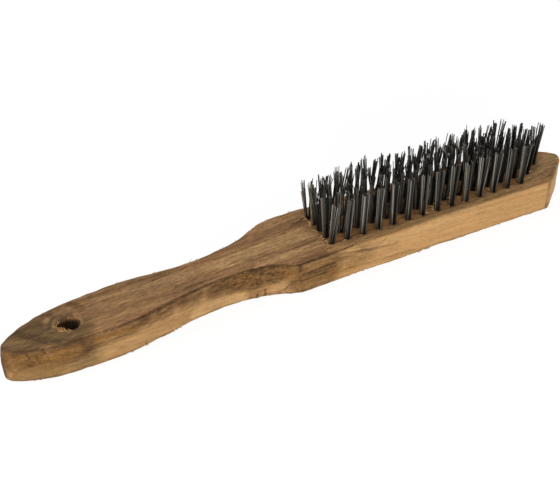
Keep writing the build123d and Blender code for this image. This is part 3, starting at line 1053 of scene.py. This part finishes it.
def splinter_tree(material):
    """Geometry Nodes: each point of the input grows one flat, tapering sliver of wood.
    The points carry its direction and curl (vectors), length and width."""
    tree, add, given = start_tree("wood_slivers", {"Flatness": 0.4})
    rooted = {"Geometry": given["Points"], "Name": "root", "Value": add("GeometryNodeInputPosition")}
    rooted = add(STORE, rooted, data_type="FLOAT_VECTOR", domain="POINT")
    slivers = lines_on(add, rooted, 5)
    kinds = {"root": "FLOAT_VECTOR", "direction": "FLOAT_VECTOR", "curl": "FLOAT_VECTOR"}
    kinds.update({"length": "FLOAT", "width": "FLOAT"})
    own = {name: add(READ, {"Name": name}, data_type=kind) for name, kind in kinds.items()}

    # straight at first, then curling over
    along = add("GeometryNodeSplineParameter").outputs["Factor"]
    reach = add(MATH, [along, own["length"]], "MULTIPLY")
    straight = add(VECTOR, {0: own["direction"], "Scale": reach}, "SCALE")
    bend = add(MATH, [reach, along], "MULTIPLY")
    bent = add(VECTOR, {0: own["curl"], "Scale": bend}, "SCALE")
    place = own["root"]
    for part in (straight, bent):
        place = add(VECTOR, [place, part], "ADD")
    slivers = add("GeometryNodeSetPosition", {"Geometry": slivers, "Position": place})
    taper = add(MATH, [1.06, along], "SUBTRACT")
    taper = add(MATH, [taper, 0.7], "POWER")
    width = add(MATH, [taper, own["width"]], "MULTIPLY")
    section = add("GeometryNodeCurvePrimitiveCircle", {"Resolution": tube_sides, "Radius": 0.5})
    flat = add("ShaderNodeCombineXYZ", {"X": 1.0, "Y": given["Flatness"], "Z": 1.0})
    section = add("GeometryNodeTransform", {"Geometry": section, "Scale": flat})
    end_tree(add, slivers, section, material, Scale=width)
    return tree


def add_splinters(name, slivers, tree, **tints):
    """One piece of wood slivers. Each is its root, direction, length, width and curl, in mm.
    A tint is the strength of one kind of mark, for each sliver or for all."""
    root, direction, length, width, curl = (np.array(part, float) for part in zip(*slivers))
    direction /= np.linalg.norm(direction, axis=1)[:, None]
    attributes = {"direction": direction, "curl": curl, "length": length * MM, "width": width * MM}
    attributes.update({kind: np.broadcast_to(strength, length.shape) for kind, strength in tints.items()})
    piece = grown(name, root * MM, attributes, tree)
    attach(piece, "root")
    return piece


def level_direction(turn):
    """The direction at this angle, lying level."""
    return np.array([math.cos(turn), math.sin(turn), 0])


def hole_burrs():
    """Curled slivers that the drill left round the tuft holes: the longest at the first column."""
    rng = np.random.default_rng(61)
    slivers = []
    first = tuft_holes[:, 0].min() + 1
    for centre in tuft_holes:
        leading = centre[0] < first
        for _ in range(4 if leading else rng.integers(1, 3)):
            turn = rng.normal(math.pi, 0.5) if leading else rng.uniform(0, 2 * math.pi)
            out = level_direction(turn)
            root = np.array([*centre, wood_thickness - 0.15]) + out * (tuft_hole_radius + 0.12)
            direction = out * rng.uniform(0.3, 1.0) + [0, 0, rng.uniform(0.5, 1.0)] + rng.normal(0, 0.25, 3)
            length = rng.uniform(1.2, 2.8) if leading else rng.choice([0.5, 0.8, 1.8])
            slivers.append((root, direction, length, rng.uniform(0.5, 1.1), out * 0.3 - [0, 0, 0.25]))
    return slivers


def edge_splinters():
    """Fibres that the saw left standing along the edges."""
    rng = np.random.default_rng(62)
    slivers = []
    spots = []
    for i in rng.integers(0, station_count, 150):
        far_side = outline_out[i, 1] > 0.2  # it was sawn cleaner
        spots.append((i, rng.random() < 0.35, rng.uniform(0.5, 1.6) * (0.5 if far_side else 1.0)))
    # the longest ones: place along the block, side, on the bristle face's edge or not, length
    for place, side, on_top, length in (
        (-72.5, -1, False, 1.6), (-60, -1, False, 1.5), (-59, -1, False, 1.0), (-17.6, -1, False, 1.2),
        (-14, -1, False, 1.4), (66, -1, False, 3.4), (69, -1, False, 2.2), (71, -1, False, 1.6),
        (-41, 1, True, 2.6), (-38, 1, True, 1.4), (-58, 1, True, 1.2), (-75, 1, True, 1.3),
        (-108, 1, True, 1.2), (36, -1, False, 1.2), (22, -1, False, 1.0),
    ):
        on_side = np.flatnonzero(side * outline_out[:, 1] > 0.2)
        spots.append((on_side[np.abs(outline[on_side, 0] - place).argmin()], on_top, length))
    for i, on_top, length in spots:
        out = np.array([*outline_out[i], 0])
        inset = 0.28  # the root's depth in the worn edge
        root = np.array([*outline[i], wood_thickness - inset if on_top else inset]) - out * inset
        heading = fibre_direction * rng.choice([-1, 1])
        lift = np.array([0, 0, 0.25 if on_top else 0.0])
        direction = heading + out * rng.uniform(0.15, 0.6) + lift + rng.normal(0, 0.1, 3)
        width = rng.uniform(0.22, 0.45)
        curl = out * 0.1 + rng.normal(0, 0.12, 3)
        if not on_top:  # none reaches below the flat back
            direction[2], curl[2] = abs(direction[2]), abs(curl[2])
        slivers.append((root, direction, length, width, curl))
    return slivers


# bunches of torn fibres at the hang hole: the angle each sits at, its spread, its count, its shortest and
# longest fibre, and how much it stands up
hang_bunches = ((4.0, 0.30, 30, 1.4, 2.8, 0.0), (0.6, 0.20, 9, 1.8, 3.0, 1.2), (2.6, 0.5, 12, 0.8, 1.6, 0.0))


def hang_hole_fibres():
    """Torn fibres round the mouth of the hang hole: a thick bunch, a few stiff ones, and some all round."""
    rng = np.random.default_rng(63)
    slivers = []
    for middle, spread, count, low, high, rise in hang_bunches:
        for _ in range(count):
            turn = rng.normal(middle, spread)
            out = level_direction(turn)
            mouth = np.array([*hang_centre, wood_thickness - 0.3])
            root = mouth + out * (hang_radius + rng.uniform(0.2, 1.0))
            direction = out * rng.uniform(-0.9, 0.2) + [-0.5, 0.3, rise + rng.uniform(0.15, 0.6)]
            direction = direction + rng.normal(0, 0.2, 3)
            slivers.append((root, direction, rng.uniform(low, high), rng.uniform(0.6, 1.1), [0, 0, -0.25]))
    return slivers


# ---------------------------------------------------------------- putting the pieces together

splinters = splinter_tree(raw_wood)
add_splinters("hole_burrs", hole_burrs(), splinters, pale=0.85)
add_splinters("edge_splinters", edge_splinters(), splinters, brown=0.35)
hang_fibres = hang_hole_fibres()
fresh_bunch = np.arange(len(hang_fibres)) < hang_bunches[0][2]
tints = {"brown": np.where(fresh_bunch, 0.15, 0.25), "golden": np.where(fresh_bunch, 0.3, 0.0)}
add_splinters("hang_hole_fibres", hang_fibres, splinters, **tints)

anchor_steel = anchor_material()
for name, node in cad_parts.items():
    if name.startswith("anchor"):
        for slot in node.material_slots:
            slot.material = anchor_steel

# ---------------------------------------------------------------- stage, light and camera


def seen_directly(add):
    """1 for rays that show the camera what they meet, straight or by a mirror or glass, and 0 for light."""
    path = add("ShaderNodeLightPath").outputs
    direct = path["Is Camera Ray"]
    for kind in ("Is Glossy Ray", "Is Transmission Ray"):
        direct = add(MATH, [direct, path[kind]], "MAXIMUM")
    return direct


def stage_floor():
    """A wide sheet of white paper, which looks white to the camera and keeps the brush's shadow."""
    reach = 4.0
    corners = [(-reach, -reach, 0), (reach, -reach, 0), (reach, reach, 0), (-reach, reach, 0)]
    floor_mesh = bpy.data.meshes.new("floor")
    floor_mesh.from_pydata(corners, [], [(0, 1, 2, 3)])
    floor = new_object("floor", floor_mesh)
    floor.location.z = -0.0002  # just clear of the wood
    material, add = make_material("white_paper_floor")
    paper = add("ShaderNodeBsdfDiffuse", {"Color": (0.8, 0.8, 0.8, 1)})
    faint = add("ShaderNodeBsdfDiffuse", {"Color": (0.16, 0.16, 0.16, 1)})
    glow = add("ShaderNodeEmission", {"Color": (1, 1, 1, 1), "Strength": 0.9})
    seen = add("ShaderNodeAddShader", [faint, glow])
    mixed = add("ShaderNodeMixShader", [seen_directly(add), paper, seen])
    add("ShaderNodeOutputMaterial", {"Surface": mixed})
    floor_mesh.materials.append(material)
    floor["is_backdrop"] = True


def stage_world():
    """A dim white room, which looks plain white to the camera."""
    world = bpy.data.worlds.new("white_room")
    bpy.context.scene.world = world
    world.use_nodes = True
    world.node_tree.nodes.clear()
    add = adder(world.node_tree)
    room = add("ShaderNodeBackground", {"Color": (1, 1, 1, 1), "Strength": 0.44})
    white = add("ShaderNodeBackground", {"Color": (1, 1, 1, 1), "Strength": 1.0})
    mixed = add("ShaderNodeMixShader", [seen_directly(add), room, white])
    add("ShaderNodeOutputWorld", {"Surface": mixed})


def soft_lamp(name, place, size, power):
    """A flat lamp that faces the brush."""
    lamp = bpy.data.lights.new(name, "AREA")
    lamp.shape = "RECTANGLE"
    lamp.size, lamp.size_y = size
    lamp.energy = power
    holder = new_object(name, lamp)
    target = Vector((0.01, 0, 0.01))
    holder.location = place
    holder.rotation_euler = (target - Vector(place)).to_track_quat("-Z", "Y").to_euler()


stage_floor()
stage_world()
soft_lamp("front_left_softbox", (-0.55, -1.3, 0.32), (0.9, 0.5), 15.0)
soft_lamp("left_softbox", (-1.2, 0.25, 0.55), (0.8, 0.6), 8.5)

camera = bpy.data.cameras.new("camera")
camera.lens = 68.6
camera.sensor_width = 36.0
camera.clip_start, camera.clip_end = 0.01, 20
camera_holder = new_object("camera", camera)
azimuth, elevation, roll = math.radians(-28.06), math.radians(37.2), math.radians(0.2)
aim, distance = Vector((-0.0028, -0.0072, 0.0162)), 0.4716
level = math.cos(elevation)
back = Vector((math.sin(azimuth) * level, -math.cos(azimuth) * level, math.sin(elevation)))
camera_holder.location = aim + back * distance
turn = (-back).to_track_quat("-Z", "Y").to_matrix() @ Matrix.Rotation(roll, 3, "Z")
camera_holder.rotation_euler = turn.to_euler()
bpy.context.scene.camera = camera_holder
bpy.context.scene.view_settings.view_transform = "Standard"

low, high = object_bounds()
